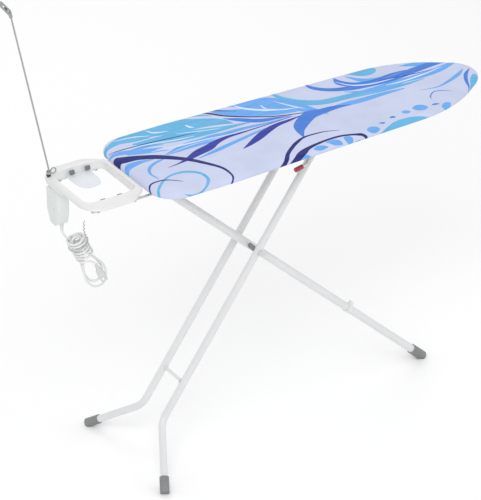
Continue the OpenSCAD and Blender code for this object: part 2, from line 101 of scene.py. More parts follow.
class Graph:
    """A material's node tree, with short calls to add and join nodes."""

    def __init__(self, name: str) -> None:
        """Starts a material with one Principled shader.

        Args:
            name: the material's name.
        """
        self.mat = bpy.data.materials.new(name)
        self.mat.use_nodes = True
        self.tree = self.mat.node_tree
        self.bsdf = self.tree.nodes["Principled BSDF"]
        self.obj = self.node("ShaderNodeTexCoord").outputs["Object"]

    def node(self, kind: str, **props: object) -> bpy.types.Node:
        """Adds a node and sets its properties.

        Args:
            kind: Blender's name for the node's type.
            props: the node's own properties.
        Returns:
            the node.
        """
        made = self.tree.nodes.new(kind)
        for key, value in props.items():
            setattr(made, key, value)
        return made

    def put(self, socket: bpy.types.NodeSocket, value: object) -> None:
        """Sets a socket to a constant, or links an output into it."""
        if isinstance(value, bpy.types.NodeSocket):
            self.tree.links.new(value, socket)
        elif isinstance(value, tuple) and len(value) == 3 and socket.type == "RGBA":
            socket.default_value = (*value, 1.0)
        else:
            socket.default_value = value

    def noise(self, scale: float, detail: float = 4.0, rough: float = 0.55,
              vector: bpy.types.NodeSocket | None = None) -> bpy.types.NodeSocket:
        """Adds fractal noise.

        Args:
            scale: cells a metre.
            detail: octaves.
            rough: how strong the finer octaves are.
            vector: coordinates, or none for the piece's own.
        Returns:
            the noise, about 0 to 1.
        """
        n = self.node("ShaderNodeTexNoise")
        self.put(n.inputs["Vector"], vector or self.obj)
        n.inputs["Scale"].default_value = scale
        n.inputs["Detail"].default_value = detail
        n.inputs["Roughness"].default_value = rough
        return n.outputs["Fac"]

    def stretch(self, sx: float, sy: float, sz: float) -> bpy.types.NodeSocket:
        """Scales the piece's own coordinates, to draw a pattern out.

        Args:
            sx: factor along X; less than 1 draws the pattern longer.
            sy: factor along Y.
            sz: factor along Z.
        Returns:
            the scaled coordinates.
        """
        m = self.node("ShaderNodeMapping")
        self.put(m.inputs["Vector"], self.obj)
        m.inputs["Scale"].default_value = (sx, sy, sz)
        return m.outputs["Vector"]

    def span(self, value: object, a: float, b: float, c: float, d: float
             ) -> bpy.types.NodeSocket:
        """Carries a value from one range to another and clamps it there.

        Args:
            value: a number or an output.
            a: start of its range.
            b: end of its range.
            c: what the start becomes.
            d: what the end becomes.
        Returns:
            the carried value.
        """
        n = self.node("ShaderNodeMapRange")
        self.put(n.inputs["Value"], value)
        for key, v in zip(("From Min", "From Max", "To Min", "To Max"), (a, b, c, d)):
            n.inputs[key].default_value = v
        return n.outputs["Result"]

    def math(self, op: str, a: object, b: object = 0.0) -> bpy.types.NodeSocket:
        """Adds a two-input Math node.

        Args:
            op: its operation.
            a: the first input.
            b: the second input.
        Returns:
            the result.
        """
        n = self.node("ShaderNodeMath", operation=op)
        self.put(n.inputs[0], a)
        self.put(n.inputs[1], b)
        return n.outputs[0]

    def mix(self, fac: object, a: object, b: object) -> bpy.types.NodeSocket:
        """Mixes two colours.

        Args:
            fac: 0 for the first colour, 1 for the second.
            a: the first colour.
            b: the second colour.
        Returns:
            the mixed colour.
        """
        n = self.node("ShaderNodeMix", data_type="RGBA")
        self.put(n.inputs[0], fac)
        self.put(n.inputs[6], a)
        self.put(n.inputs[7], b)
        return n.outputs[2]

    def attribute(self, name: str) -> bpy.types.NodeSocket:
        """Returns a mesh attribute's number."""
        return self.node("ShaderNodeAttribute", attribute_name=name).outputs["Fac"]

    def bump(self, *layers: tuple[bpy.types.NodeSocket, float]) -> None:
        """Chains bump layers into the shader's normal.

        Args:
            layers: pairs of a height from 0 to 1 and its depth in metres.
        """
        last = None
        for height, depth in layers:
            n = self.node("ShaderNodeBump")
            n.inputs["Strength"].default_value = 1.0
            n.inputs["Distance"].default_value = depth
            self.put(n.inputs["Height"], height)
            if last is not None:
                self.put(n.inputs["Normal"], last)
            last = n.outputs["Normal"]
        self.put(self.bsdf.inputs["Normal"], last)

    def finish(self, colour: object, rough: object, **sockets: object
               ) -> bpy.types.Material:
        """Joins colour and roughness to the shader and sets the rest.

        Args:
            colour: the base colour.
            rough: the roughness.
            sockets: other sockets, named in lower case with underscores.
        Returns:
            the finished material.
        """
        self.put(self.bsdf.inputs["Base Color"], colour)
        self.put(self.bsdf.inputs["Roughness"], rough)
        for key, value in sockets.items():
            self.put(self.bsdf.inputs[key.replace("_", " ").title()
                                      .replace("Ior", "IOR")], value)
        return self.mat


class Finish:
    """A finish makes its material once and lends it to every piece that wears it."""

    _made: dict[object, bpy.types.Material] = {}

    def build(self) -> bpy.types.Material:
        """Returns a new material; each finish has its own."""
        raise NotImplementedError

    @property
    def material(self) -> bpy.types.Material:
        """Returns the one material of this finish."""
        if self not in Finish._made:
            Finish._made[self] = self.build()
        return Finish._made[self]


@dataclass(frozen=True)
class PowderCoat(Finish):
    """Baked powder paint: faint orange peel, slight mottling and dust in the gloss."""

    name: str = "white_powder_coat"
    colour: Colour = (0.71, 0.715, 0.725)
    rough: float = 0.30

    def build(self) -> bpy.types.Material:
        """Returns the paint's material."""
        g = Graph(self.name)
        tint = g.noise(9.0, 3.0)
        specks = g.span(g.noise(420.0, 2.0), 0.66, 0.74, 0.0, 1.0)
        base = g.mix(g.span(tint, 0.3, 0.7, 0.0, 1.0), self.colour,
                     tuple(c * 0.955 for c in self.colour))
        base = g.mix(g.math("MULTIPLY", specks, 0.18), base, (0.62, 0.62, 0.61))
        g.bump((g.noise(900.0, 1.0), 0.00002), (g.noise(130.0, 2.0), 0.00003))
        rough = g.span(g.noise(26.0, 4.0), 0.3, 0.7, self.rough - 0.05, self.rough + 0.10)
        return g.finish(base, rough, coat_weight=0.25, coat_roughness=0.2)


@dataclass(frozen=True)
class Moulded(Finish):
    """Injection-moulded plastic: fine spark grain, flow marks and rubbed spots."""

    name: str
    colour: Colour
    rough: float = 0.45
    grain: float = 0.00004
    shade: float = 0.93

    def build(self) -> bpy.types.Material:
        """Returns the plastic's material."""
        g = Graph(self.name)
        flow = g.noise(14.0, 5.0, 0.6, g.stretch(1.0, 1.0, 2.6))
        base = g.mix(g.span(flow, 0.32, 0.68, 0.0, 1.0), self.colour,
                     tuple(c * self.shade for c in self.colour))
        grime = g.span(g.noise(55.0, 6.0, 0.7), 0.58, 0.75, 0.0, 0.16)
        base = g.mix(grime, base, tuple(c * 0.8 for c in self.colour))
        cells = g.node("ShaderNodeTexVoronoi")
        g.put(cells.inputs["Vector"], g.obj)
        cells.inputs["Scale"].default_value = 1500.0
        g.bump((cells.outputs["Distance"], self.grain), (g.noise(70.0, 2.0), 0.00005))
        rough = g.span(g.noise(38.0, 4.0), 0.3, 0.7, self.rough - 0.06, self.rough + 0.1)
        return g.finish(base, rough)


@dataclass(frozen=True)
class PlatedSteel(Finish):
    """Bright zinc plate: drawn along one axis, hazy, with faint warm and blue tints."""

    name: str = "zinc_plate"
    draw: tuple[float, float, float] = (2.0, 60.0, 60.0)
    colour: Colour = (0.66, 0.67, 0.69)

    def build(self) -> bpy.types.Material:
        """Returns the plated steel's material."""
        g = Graph(self.name)
        lines = g.noise(16.0, 5.0, 0.7, g.stretch(*self.draw))
        haze = g.noise(60.0, 4.0)
        base = g.mix(g.span(haze, 0.3, 0.7, 0.0, 1.0), self.colour, (0.72, 0.70, 0.64))
        base = g.mix(g.span(lines, 0.35, 0.65, 0.0, 0.35), base, (0.50, 0.51, 0.54))
        g.bump((lines, 0.00002))
        return g.finish(base, g.span(lines, 0.3, 0.7, 0.24, 0.42), metallic=1.0)


@dataclass(frozen=True)
class SpangledSteel(Finish):
    """Hot-dip galvanised sheet: crystal spangle of light and dark grains."""

    name: str = "galvanised_sheet"

    def build(self) -> bpy.types.Material:
        """Returns the galvanised sheet's material."""
        g = Graph(self.name)
        warp = g.noise(40.0, 2.0)
        cells = g.node("ShaderNodeTexVoronoi")
        g.put(cells.inputs["Vector"], g.obj)
        cells.inputs["Scale"].default_value = 120.0
        grain = g.node("ShaderNodeSeparateColor")
        g.put(grain.inputs[0], cells.outputs["Color"])
        base = g.mix(grain.outputs[0], (0.58, 0.59, 0.61), (0.74, 0.75, 0.77))
        base = g.mix(g.span(warp, 0.4, 0.7, 0.0, 0.3), base, (0.66, 0.66, 0.64))
        g.bump((g.noise(240.0, 3.0), 0.00003))
        return g.finish(base, g.span(grain.outputs[1], 0.0, 1.0, 0.34, 0.52),
                        metallic=0.9)


@dataclass(frozen=True)
class Rubber(Finish):
    """Soft black-grey rubber: matt, dusty, finely pitted."""

    name: str
    colour: Colour

    def build(self) -> bpy.types.Material:
        """Returns the rubber's material."""
        g = Graph(self.name)
        dust = g.span(g.noise(90.0, 6.0, 0.7), 0.5, 0.8, 0.0, 0.35)
        base = g.mix(dust, self.colour, tuple(min(1.0, c * 1.9) for c in self.colour))
        g.bump((g.noise(1400.0, 2.0), 0.00004), (g.noise(160.0, 2.0), 0.00004))
        return g.finish(base, g.span(dust, 0.0, 0.35, 0.62, 0.82))


@dataclass(frozen=True)
class Brass(Finish):
    """Stamped brass: warm, rubbed bright where the pins slide."""

    name: str = "contact_brass"

    def build(self) -> bpy.types.Material:
        """Returns the brass's material."""
        g = Graph(self.name)
        tarnish = g.noise(180.0, 4.0)
        base = g.mix(g.span(tarnish, 0.4, 0.7, 0.0, 1.0), (0.80, 0.62, 0.28),
                     (0.55, 0.40, 0.17))
        return g.finish(base, g.span(tarnish, 0.3, 0.7, 0.22, 0.45), metallic=1.0)


@dataclass(frozen=True)
class NeedleFelt(Finish):
    """Pressed felt: tangled short fibres in off-white and grey."""

    name: str = "needle_felt"

    def build(self) -> bpy.types.Material:
        """Returns the felt's material."""
        g = Graph(self.name)
        fibres = g.noise(700.0, 6.0, 0.8)
        base = g.mix(g.span(fibres, 0.35, 0.65, 0.0, 1.0), (0.66, 0.65, 0.62),
                     (0.84, 0.83, 0.80))
        g.bump((fibres, 0.0003))
        return g.finish(base, 0.95, sheen_weight=0.3, sheen_roughness=0.6)


@dataclass(frozen=True)
class FlexSheath(Finish):
    """White PVC sheath: soft sheen, faint lay of the cores, scuffs along the length."""

    name: str = "flex_sheath"
    colour: Colour = (0.74, 0.75, 0.745)

    def build(self) -> bpy.types.Material:
        """Returns the sheath's material."""
        g = Graph(self.name)
        scuff = g.span(g.noise(110.0, 5.0, 0.7), 0.52, 0.72, 0.0, 0.5)
        base = g.mix(scuff, self.colour, (0.68, 0.68, 0.66))
        g.bump((g.noise(60.0, 3.0), 0.0001), (g.noise(900.0, 2.0), 0.00002))
        return g.finish(base, g.span(scuff, 0.0, 0.5, 0.36, 0.58),
                        subsurface_weight=0.06, subsurface_radius=(0.004, 0.004, 0.004))


@dataclass(frozen=True)
class StudioFloor(Finish):
    """Pale seamless paper with a hardly visible tooth."""

    name: str = "studio_paper"

    def build(self) -> bpy.types.Material:
        """Returns the floor's material."""
        g = Graph(self.name)
        tooth = g.noise(120.0, 3.0)
        g.bump((tooth, 0.0001))
        return g.finish(g.mix(g.span(tooth, 0.3, 0.7, 0.0, 1.0), (0.93, 0.93, 0.93),
                              (0.95, 0.95, 0.95)), 0.9)


# ---------------------------------------------------------------- printed cover


class Ink(Enum):
    """The inks of the printed cotton, in the order they are laid down."""

    CYAN = (0.115, 0.40, 0.66)
    SKY = (0.13, 0.35, 0.75)
    BLUE = (0.055, 0.185, 0.60)
    WHITE = (0.60, 0.70, 0.88)
    VIOLET = (0.028, 0.038, 0.31)
    NAVY = (0.012, 0.016, 0.15)

    @property
    def field(self) -> str:
        """Returns the name of the mesh attribute that holds this ink's edge distance."""
        return "ink_" + self.name.lower()


@dataclass(frozen=True)
class Stroke:
    """One brush stroke: X, Y and half width of its stations, in millimetres."""

    stations: tuple[int, ...]

    def edge_distance(self, xy: np.ndarray) -> np.ndarray:
        """Signed distance from points to the stroke's edge, negative inside.

        The stations are joined by a smooth curve; the distance is the least, over
        the curve's samples, of the distance to a sample less its half width.

        Args:
            xy: points in millimetres, one row each.
        Returns:
            one distance in millimetres for each point.
        """
        path = smooth_path(np.array(self.stations, float).reshape(-1, 3), 8)
        out = np.full(len(xy), FAR)
        lo, hi = path[:, :2].min(0) - REACH, path[:, :2].max(0) + REACH
        near = np.where(((xy > lo) & (xy < hi)).all(1))[0]
        a, b = path[:-1], path[1:]
        for start in range(0, len(near), CHUNK):
            pick = near[start:start + CHUNK]
            p = xy[pick][:, None, :]
            d = (b - a)[None, :, :2]
            t = np.clip(((p - a[None, :, :2]) * d).sum(2)
                        / np.maximum((d ** 2).sum(2), 1e-9), 0, 1)
            gap = np.linalg.norm(p - a[None, :, :2] - t[..., None] * d, axis=2)
            out[pick] = (gap - (a[:, 2] + (b - a)[:, 2] * t)).min(1)
        return out


def smooth_path(points: np.ndarray, per_span: int) -> np.ndarray:
    """Passes a Catmull-Rom curve through points.

    Args:
        points: stations, one row each, of any width.
        per_span: samples between two stations.
    Returns:
        the sampled curve, its last row the last station.
    """
    p = np.vstack([2 * points[0] - points[1], points, 2 * points[-1] - points[-2]])
    t = (np.arange(per_span) / per_span)[None, :, None]
    a, b, c, d = (p[i:len(p) - 3 + i][:, None, :] for i in range(4))
    curve = 0.5 * (2 * b + (c - a) * t + (2 * a - 5 * b + 4 * c - d) * t ** 2
                   + (3 * b - a - 3 * c + d) * t ** 3)
    return np.vstack([curve.reshape(-1, points.shape[1]), points[-1:]])


# Each row is one stroke: X, Y and half width of its stations, in millimetres.
PRINT: dict[Ink, tuple[tuple[int, ...], ...]] = {
    Ink.CYAN: (
        (-5, 135, 3, 75, 165, 17, 170, 175, 39, 245, 155, 42, 320, 135, 28, 375, 110, 18,
         405, 80, 1),
        (95, 125, 5, 150, 110, 19, 230, 95, 26, 310, 80, 20, 370, 70, 11, 455, 60, 2),
        (-10, 120, 6, 5, 135, 6, 30, 150, 8, 80, 155, 4),
        (-10, -175, 5, 30, -125, 4, 80, -90, 4, 130, -90, 6, 165, -120, 6, 165, -165, 5,
         130, -200, 3, 95, -205, 3, 70, -195, 1),
        (595, 180, 5, 610, 130, 10, 645, 80, 15, 700, 50, 15, 785, 40, 14, 875, 25, 13,
         960, 15, 7, 1030, 15, 2),
        (0, 140, 3, 55, 155, 8, 110, 145, 8, 155, 135, 2),
        (250, 205, 2, 305, 195, 8, 355, 170, 5, 375, 150, 1),
        (835, 175, 3, 870, 165, 17, 900, 150, 28, 925, 145, 19, 940, 145, 2),
        (1125, -100, 4, 1150, -75, 14, 1170, -50, 11),
        (695, -205, 2, 745, -195, 10, 805, -175, 14, 865, -175, 13, 915, -185, 8,
         950, -185, 1),
    ),
    Ink.SKY: (
        (420, 195, 3, 465, 185, 20, 515, 155, 33, 565, 125, 35, 600, 90, 27, 635, 35, 18,
         670, -20, 1),
        (380, 190, 5, 420, 150, 16, 470, 115, 24, 515, 85, 18, 570, 60, 12, 610, 45, 3),
        (-5, 100, 3, 35, 100, 11, 90, 80, 11, 155, 65, 2),
        (50, 80, 4, 105, 65, 8, 160, 45, 2),
        (140, 25, 2, 225, 45, 9, 305, 40, 10, 395, 40, 8, 480, 30, 5, 565, 25, 2),
        (210, -45, 2, 285, -30, 8, 360, -15, 7, 440, 0, 5, 510, 5, 2),
        (-10, 0, 7, 20, 20, 13, 55, 25, 9, 95, 20, 2),
        (50, -85, 2, 45, -50, 4, 60, -20, 5, 95, 0, 5, 155, 10, 1),
        (660, 5, 3, 740, 5, 12, 805, 0, 12, 875, 0, 9, 945, -5, 3),
        (800, 50, 2, 880, 40, 10, 950, 40, 12, 1025, 35, 14, 1100, 40, 14, 1165, 55, 7,
         1180, 50, 3),
        (1015, 120, 2, 1065, 105, 14, 1115, 95, 15, 1155, 80, 4),
        (840, 150, 2, 875, 100, 11, 935, 85, 8, 1010, 90, 2),
        (785, 70, 2, 835, 40, 8, 900, 25, 6, 965, 25, 1),
        (145, 20, 2, 235, 25, 7, 320, 20, 5, 390, 15, 1),
        (5, 95, 2, 60, 95, 6, 120, 95, 7, 165, 80, 2),
        (175, 40, 1, 250, 45, 5, 315, 50, 5, 375, 40, 1),
        (980, -40, 1, 1035, -50, 3, 1090, -35, 6, 1135, -15, 7, 1165, 5, 1),
        (710, -165, 5, 725, -165, 15, 740, -170, 6),
        (855, -125, 3, 865, -130, 10, 875, -135, 3),
        (900, -125, 8, 915, -130, 18, 930, -135, 8),
        (980, -155, 5, 995, -155, 13, 1010, -150, 5),
        (450, -205, 1, 480, -200, 15, 505, -215, 2),
        (515, -175, 2, 535, -175, 10, 560, -180, 2),
        (565, -160, 2, 590, -170, 13, 610, -185, 2),
        (625, -165, 2, 635, -175, 13, 640, -195, 1),
        (640, -200, 1, 665, -195, 9, 680, -195, 2),
        (600, 185, 4, 655, 185, 6, 705, 175, 2),
    ),
    Ink.BLUE: (
        (395, 120, 2, 430, 90, 10, 475, 55, 11, 530, 40, 6, 570, 30, 2),
        (755, -5, 2, 705, 5, 11, 660, 5, 16, 620, 5, 22, 585, -15, 22, 560, -35, 20,
         545, -55, 14, 535, -80, 7, 530, -100, 1),
        (710, 180, 2, 720, 140, 9, 755, 105, 10, 815, 80, 13, 880, 70, 14, 950, 65, 14,
         1030, 75, 15, 1105, 80, 13, 1160, 70, 2),
        (805, 160, 1, 805, 125, 14, 835, 95, 12, 890, 85, 7, 965, 90, 6, 1015, 90, 1),
        (975, -140, 1, 975, -115, 1, 980, -90, 2, 1005, -70, 2, 1030, -75, 2, 1055, -95, 1),
        (1110, -115, 2, 1125, -70, 5, 1150, -30, 6, 1180, -5, 2),
        (760, -145, 2, 770, -150, 5, 775, -150, 2),
        (805, -135, 2, 815, -135, 6, 820, -140, 2),
        (955, -135, 2, 965, -135, 5, 975, -140, 2),
    ),
    Ink.WHITE: (
        (165, 180, 1, 180, 155, 4, 220, 140, 1),
        (280, 150, 1, 285, 130, 4, 295, 120, 1),
        (460, 180, 1, 480, 140, 5, 525, 100, 5, 575, 75, 3, 620, 60, 1),
        (530, 135, 1, 530, 115, 3, 535, 105, 1),
        (230, 115, 1, 290, 95, 2, 355, 75, 1),
        (115, 60, 1, 190, 50, 3, 290, 40, 3, 385, 25, 1),
        (55, 170, 1, 110, 165, 3, 160, 145, 1),
        (100, 110, 1, 145, 100, 3, 205, 85, 3, 270, 75, 1),
        (575, 135, 1, 605, 80, 3, 630, 45, 1),
        (795, 140, 1, 825, 95, 3, 885, 70, 3, 985, 65, 1),
        (910, 40, 1, 975, 35, 3, 1055, 40, 3, 1120, 50, 1),
    ),
    Ink.VIOLET: (
        (105, -45, 1, 145, -40, 3, 185, -30, 9, 225, -15, 15, 265, -5, 16, 300, 10, 11,
         345, 20, 7, 420, 20, 3, 580, 25, 1),
        (345, -65, 1, 380, -50, 8, 420, -30, 13, 460, -10, 13, 505, 5, 9, 550, 10, 6,
         590, 15, 2),
        (905, 75, 1, 970, 65, 2, 1035, 55, 2, 1085, 50, 1),
    ),
    Ink.NAVY: (
        (355, 190, 2, 380, 165, 5, 410, 130, 4, 470, 85, 3, 535, 50, 3, 615, 25, 2),
        (385, 190, 4, 415, 165, 2, 450, 140, 1),
        (-10, 55, 15, 5, 65, 18, 25, 60, 18, 65, 50, 13, 120, 20, 12, 175, -30, 9,
         210, -80, 7, 235, -130, 5, 235, -180, 3, 220, -210, 3, 200, -225, 1),
        (-15, -145, 1, -5, -120, 3, 20, -100, 3, 55, -100, 3, 80, -115, 2, 100, -135, 1),
        (-15, 90, 2, -5, 110, 1, 40, 115, 2, 130, 110, 2, 215, 100, 2, 285, 90, 1),
        (365, -220, 4, 405, -195, 7, 435, -160, 6, 465, -135, 6, 495, -115, 6, 530, -100, 4,
         575, -100, 3, 605, -105, 2, 640, -120, 1),
        (395, -220, 3, 435, -200, 9, 475, -175, 11, 510, -160, 7, 565, -150, 5,
         620, -150, 5, 665, -165, 5, 685, -175, 5, 695, -190, 4, 690, -210, 1),
    ),
}


@dataclass(frozen=True)
class PrintedCotton(Finish):
    """Plain-weave cotton with a watercolour print, one edge distance for each ink."""

    name: str = "printed_cotton"
    ground: Colour = (0.575, 0.62, 0.81)

    def build(self) -> bpy.types.Material:
        """Returns the cover's material."""
        g = Graph(self.name)
        wash = g.noise(11.0, 4.0)
        base = g.mix(g.span(wash, 0.35, 0.65, 0.0, 1.0), self.ground,
                     tuple(c * 0.93 for c in self.ground))
        ragged = g.math("MULTIPLY", g.math("SUBTRACT", g.noise(220.0, 3.0), 0.5), 1.4)
        brush = g.noise(30.0, 4.0, 0.6, g.stretch(0.35, 3.0, 1.0))
        for ink in Ink:
            edge = g.math("ADD", g.attribute(ink.field), ragged)
            mask = g.span(edge, -0.45, 0.45, 1.0, 0.0)
            light = tuple(min(1.0, c * 1.12 + 0.015) for c in ink.value)
            tone = g.mix(g.span(brush, 0.36, 0.62, 0.0, 1.0), ink.value, light)
            base = g.mix(mask, base, tone)
        yarn_x = self.yarn(g, "X")
        yarn_y = self.yarn(g, "Y")
        weave = g.math("MULTIPLY", yarn_x, yarn_y)
        # painted shade: the low places between the yarns are darkened a little toward
        # blue-grey
        base = g.mix(g.math("MULTIPLY", g.math("SUBTRACT", 1.0, weave), 0.05), base,
                     (0.25, 0.27, 0.34))
        g.bump((weave, 0.00006), (g.noise(90.0, 4.0), 0.00016))
        return g.finish(base, g.span(weave, 0.0, 1.0, 0.92, 0.82), sheen_weight=0.03,
                        sheen_roughness=0.5, specular_ior_level=0.2)

    @staticmethod
    def yarn(g: Graph, axis: str) -> bpy.types.NodeSocket:
        """Adds the yarns that cross one axis, as fine sine bands.

        Args:
            g: the cover's graph.
            axis: X or Y.
        Returns:
            their height, 0 to 1.
        """
        n = g.node("ShaderNodeTexWave", wave_type="BANDS", bands_direction=axis)
        g.put(n.inputs["Vector"], g.obj)
        n.inputs["Scale"].default_value = 260.0
        n.inputs["Distortion"].default_value = 0.6
        n.inputs["Detail"].default_value = 1.0
        return n.outputs["Fac"]


# ---------------------------------------------------------------- mesh makers


def mesh_piece(name: str, points: np.ndarray, quads: np.ndarray, finish: Finish
               ) -> bpy.types.Object:
    """Puts worked-out points and faces into a mesh object.

    Args:
        name: the piece's name.
        points: places in metres, one row each.
        quads: point numbers, four a row; a triangle repeats its last number.
        finish: the finish that the piece wears.
    Returns:
        the new object, at the origin.
    """
    me = bpy.data.meshes.new(name)
    faces = [tuple(dict.fromkeys(q)) for q in quads.tolist()]
    me.from_pydata(points.tolist(), [], [f for f in faces if len(f) > 2])
    me.validate()
    me.shade_smooth()
    me.update()
    obj = bpy.data.objects.new(name, me)
    bpy.context.scene.collection.objects.link(obj)
    me.materials.append(finish.material)
    return obj


def grid_quads(rows: int, cols: int, wrap_rows: bool, wrap_cols: bool) -> np.ndarray:
    """Numbers the faces of a grid of points; point (i, j) is number i * cols + j.

    Args:
        rows: points one way.
        cols: points the other way.
        wrap_rows: whether the last row joins the first.
        wrap_cols: whether the last column joins the first.
    Returns:
        four point numbers for each face.
    """
    r = np.arange(rows if wrap_rows else rows - 1)
    c = np.arange(cols if wrap_cols else cols - 1)
    i, j = np.meshgrid(r, c, indexing="ij")
    i2, j2 = (i + 1) % rows, (j + 1) % cols
    return np.stack([i * cols + j, i2 * cols + j, i2 * cols + j2, i * cols + j2],
                    -1).reshape(-1, 4)


def loft(name: str, rings: np.ndarray, finish: Finish, closed_section: bool = False,
         caps: bool = False) -> bpy.types.Object:
    """Skins rings of points, each ring closed.

    Args:
        name: the piece's name.
        rings: array of ring, point in ring, and X Y Z.
        finish: the finish that the piece wears.
        closed_section: whether the last ring joins the first.
        caps: whether the end rings are closed by a fan to their middle.
    Returns:
        the new object.
    """
    rows, cols = rings.shape[:2]
    pts = rings.reshape(-1, 3)
    quads = grid_quads(rows, cols, closed_section, True)
    if caps:
        mids = np.array([rings[0].mean(0), rings[-1].mean(0)])
        k = np.arange(cols)
        k2 = (k + 1) % cols
        n = len(pts)
        first = np.stack([k, k2, k * 0 + n, k * 0 + n], -1)
        last = (rows - 1) * cols
        final = np.stack([last + k2, last + k, k * 0 + n + 1, k * 0 + n + 1], -1)
        pts = np.vstack([pts, mids])
        quads = np.vstack([quads, first, final])
    obj = mesh_piece(name, pts, quads, finish)
    return outward(obj)


def outward(obj: bpy.types.Object) -> bpy.types.Object:
    """Merges doubles and turns every face of a closed piece outwards.

    Args:
        obj: the piece, changed in place.
    Returns:
        the same piece.
    """
    bm = bmesh.new()
    bm.from_mesh(obj.data)
    bmesh.ops.remove_doubles(bm, verts=bm.verts, dist=1e-6)
    bmesh.ops.recalc_face_normals(bm, faces=bm.faces)
    bm.to_mesh(obj.data)
    bm.free()
    return obj


def softened(node: str, finish: Finish, edge: float, angle: float = 35.0) -> None:
    """Copies a CAD node, rounds its edges and lets the copy stand for it.

    Args:
        node: the CAD node.
        finish: the finish that the piece wears.
        edge: radius of the rounded edges in metres.
        angle: edges sharper than this many degrees are rounded.
    """
    src = frame["nodes"][node]
    obj = bpy.data.objects.new(f"{node}_piece", src.data.copy())
    bpy.context.scene.collection.objects.link(obj)
    outward(obj)
    obj.data.materials.clear()
    obj.data.materials.append(finish.material)
    obj.data.shade_smooth()
    bevel = obj.modifiers.new("rounded_edges", "BEVEL")
    bevel.width = edge
    bevel.segments = 3
    bevel.limit_method = "ANGLE"
    bevel.angle_limit = math.radians(angle)
    bevel.harden_normals = True
    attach(obj, src["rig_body"])
    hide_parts(node)
    LOG.info("rounded %s in %s", node, finish.name)


def dress(finish: Finish, *nodes: str) -> None:
    """Gives CAD nodes a finish and leaves their shapes as they are.

    Args:
        finish: the finish.
        nodes: the nodes that wear it.
    """
    for node in nodes:
        mats = frame["nodes"][node].data.materials
        mats.clear()
        mats.append(finish.material)
        LOG.info("dressed %s with %s", node, finish.name)


def tube_frames(path: np.ndarray) -> tuple[np.ndarray, np.ndarray]:
    """Works out two cross directions for every point of a path.

    The first is carried along the path with the least turn, the second is square
    to it and to the path.

    Args:
        path: points, one row each.
    Returns:
        the two directions, one row a point.
    """
    t = np.gradient(path, axis=0)
    t /= np.linalg.norm(t, axis=1, keepdims=True)
    n = np.cross(t[0], [0.3, 1.0, 0.2])
    normals = []
    for d in t:
        n = n - d * (n @ d)
        n = n / np.linalg.norm(n)
        normals.append(n)
    a = np.array(normals)
    return a, np.cross(t, a)


def swept(name: str, path: np.ndarray, half: np.ndarray, finish: Finish,
          sides: int = 24, power: float = 2.0) -> bpy.types.Object:
    """Carries a superellipse section along a path.

    A section point at angle a is half_a*|cos a|^(2/power) along the first cross
    direction and half_b*|sin a|^(2/power) along the second, with their signs.

    Args:
        name: the piece's name.
        path: points in metres.
        half: the two half widths at each point.
        finish: the finish that the piece wears.
        sides: points in a section.
        power: 2 for an ellipse, more for a squarer section.
    Returns:
        the new object, its ends closed.
    """
    n1, n2 = tube_frames(path)
    a = np.linspace(0, 2 * np.pi, sides, endpoint=False)
    u = np.sign(np.cos(a)) * np.abs(np.cos(a)) ** (2 / power)
    v = np.sign(np.sin(a)) * np.abs(np.sin(a)) ** (2 / power)
    rings = (path[:, None] + n1[:, None] * (half[:, :1] * u)[..., None]
             + n2[:, None] * (half[:, 1:2] * v)[..., None])
    return loft(name, rings, finish, caps=True)


# ---------------------------------------------------------------- finishes in use

WHITE_PAINT = PowderCoat()
ROD_COAT = PowderCoat("rod_coat", (0.33, 0.335, 0.34), 0.34)
WHITE_PLASTIC = Moulded("rest_white", (0.73, 0.73, 0.735), 0.42, 0.00004, 0.96)
SOCKET_PLASTIC = Moulded("socket_white", (0.69, 0.73, 0.72), 0.34, 0.00002, 0.96)
# painted light: the shelf's copy of the rest's white plastic is tinted bluish and a little
# darker, as its up-facing top looks in the light
SHELF_LIT_TINT_PLASTIC = Moulded("shelf_white_lit_tint", (0.68, 0.71, 0.75), 0.38, 0.00004, 0.97)
CAP_PLASTIC = Moulded("cap_grey", (0.24, 0.245, 0.25), 0.58, 0.00007, 0.85)
TIE_PLASTIC = Moulded("tie_grey", (0.50, 0.51, 0.51), 0.5)
CLIP_PLASTIC = Moulded("clip_grey", (0.33, 0.34, 0.35), 0.5, 0.00005, 0.88)
GRIP_RED = Moulded("grip_red", (0.36, 0.035, 0.05), 0.4, 0.00005, 0.85)
PLUG_PLASTIC = Moulded("plug_white", (0.60, 0.625, 0.62), 0.42)
DARK_RUBBER = Rubber("ferrule_rubber", (0.045, 0.047, 0.05))
PAD_RUBBER = Rubber("pad_rubber", (0.16, 0.165, 0.17))
ZINC = PlatedSteel()
ZINC_UP = PlatedSteel("zinc_plate_upright", (60.0, 60.0, 2.0))
SHEET_STEEL = SpangledSteel()
BRASS = Brass()
FELT = NeedleFelt()
COTTON = PrintedCotton()
SHEATH = FlexSheath()
PAPER = StudioFloor()


# ---------------------------------------------------------------- studio


